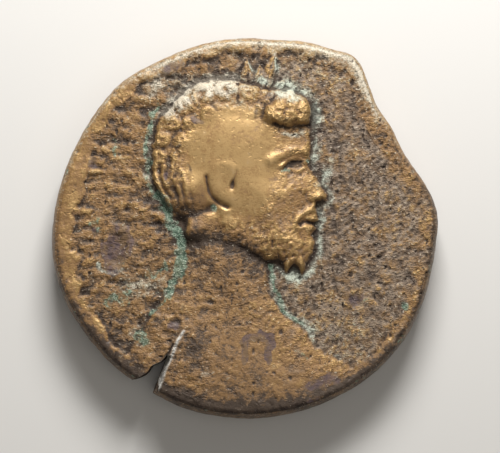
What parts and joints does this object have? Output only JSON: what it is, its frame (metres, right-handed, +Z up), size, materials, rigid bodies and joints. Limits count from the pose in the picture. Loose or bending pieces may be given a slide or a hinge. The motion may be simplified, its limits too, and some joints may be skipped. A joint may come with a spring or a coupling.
{
  "type": "roman bronze coin",
  "caption": "Worn Roman bronze coin with an uneven round flan, a cracked edge, a laurelled and bearded bust in profile on top, and a plain standing figure underneath.",
  "frame": {"origin": "centre of the bounding box in X and Y, on the plane that the reverse lies on", "axes": "+Z up through the obverse face, +Y towards the top of the head, +X the way the head looks"},
  "size_m": [0.031, 0.0306, 0.0053],
  "materials": {
    "bronze": "worn, pitted bronze with brown and green patina"
  },
  "bodies": {
    "root": {"coin": "bronze"}
  },
  "joints": []
}
